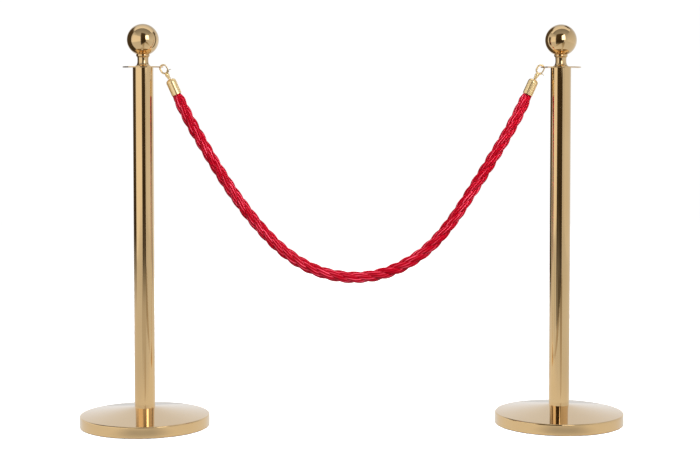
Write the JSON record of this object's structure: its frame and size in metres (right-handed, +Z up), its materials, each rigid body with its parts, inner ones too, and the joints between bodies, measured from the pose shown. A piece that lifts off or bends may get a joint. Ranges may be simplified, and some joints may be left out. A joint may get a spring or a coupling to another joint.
{
  "type": "rope barrier stanchion",
  "caption": "Free-standing polished posts with domed weighted bases and ball finials, joined by a twisted rope with a swivel snap hook at each end.",
  "frame": {"origin": "on the floor, midway between the two posts' axes", "axes": "+X along the rope towards the right-hand post, +Y to the back, +Z up"},
  "size_m": [1.352, 0.32, 0.9941],
  "materials": {
    "gold_mirror": "mirror polished gold plate",
    "gold_fitting": "bright polished yellow gold",
    "cast_iron": "rough casting, dark primer",
    "floor_rubber": "matt black moulded rubber",
    "zinc_steel": "zinc plated steel",
    "spring_steel": "bright drawn wire",
    "rope_red": "twisted satin yarn"
  },
  "bodies": {
    "root": {"rope": "rope_red", "left_floor_ring": "floor_rubber", "left_base_weight": "cast_iron", "left_base_cover": "gold_mirror", "left_base_washer": "zinc_steel", "left_lock_washer": "zinc_steel", "left_base_bolt": "zinc_steel", "left_tube": "gold_mirror", "left_foot_plug": "zinc_steel", "left_head_plug": "zinc_steel", "left_rope_plate": "gold_mirror", "left_finial_stud": "zinc_steel", "left_finial_neck": "gold_mirror", "left_finial_ball": "gold_mirror", "left_ball_insert": "zinc_steel", "left_ferrule": "gold_fitting", "left_ferrule_screw": "gold_fitting", "right_floor_ring": "floor_rubber", "right_base_weight": "cast_iron", "right_base_cover": "gold_mirror", "right_base_washer": "zinc_steel", "right_lock_washer": "zinc_steel", "right_base_bolt": "zinc_steel", "right_tube": "gold_mirror", "right_foot_plug": "zinc_steel", "right_head_plug": "zinc_steel", "right_rope_plate": "gold_mirror", "right_finial_stud": "zinc_steel", "right_finial_neck": "gold_mirror", "right_finial_ball": "gold_mirror", "right_ball_insert": "zinc_steel", "right_ferrule": "gold_fitting", "right_ferrule_screw": "gold_fitting"},
    "left_hook": {"left_hook_body": "gold_fitting", "left_gate_pin": "gold_fitting", "left_gate_spring": "spring_steel", "left_swivel_stud": "gold_fitting"},
    "left_gate": {"left_hook_gate": "gold_fitting"},
    "right_hook": {"right_hook_body": "gold_fitting", "right_gate_pin": "gold_fitting", "right_gate_spring": "spring_steel", "right_swivel_stud": "gold_fitting"},
    "right_gate": {"right_hook_gate": "gold_fitting"}
  },
  "joints": [
    {"name": "left_hook_swivel", "type": "hinge", "parent": "root", "child": "left_hook", "pos_m": [-0.44789, 0, 0.85329], "axis": [-0.4966, 0, 0.868], "range_deg": [-12, 12]},
    {"name": "left_gate_hinge", "type": "hinge", "parent": "left_hook", "child": "left_gate", "pos_m": [-0.45544, 0, 0.87777], "axis": [0, -1, 0], "range_deg": [0, 15], "stiffness_Nm_per_rad": 0.02, "springref_deg": -17.19},
    {"name": "right_hook_swivel", "type": "hinge", "parent": "root", "child": "right_hook", "pos_m": [0.44789, 0, 0.85329], "axis": [0.4966, 0, 0.868], "range_deg": [-12, 12]},
    {"name": "right_gate_hinge", "type": "hinge", "parent": "right_hook", "child": "right_gate", "pos_m": [0.46516, 0, 0.8722], "axis": [0, -1, 0], "range_deg": [0, 15], "stiffness_Nm_per_rad": 0.02, "springref_deg": -17.19}
  ]
}
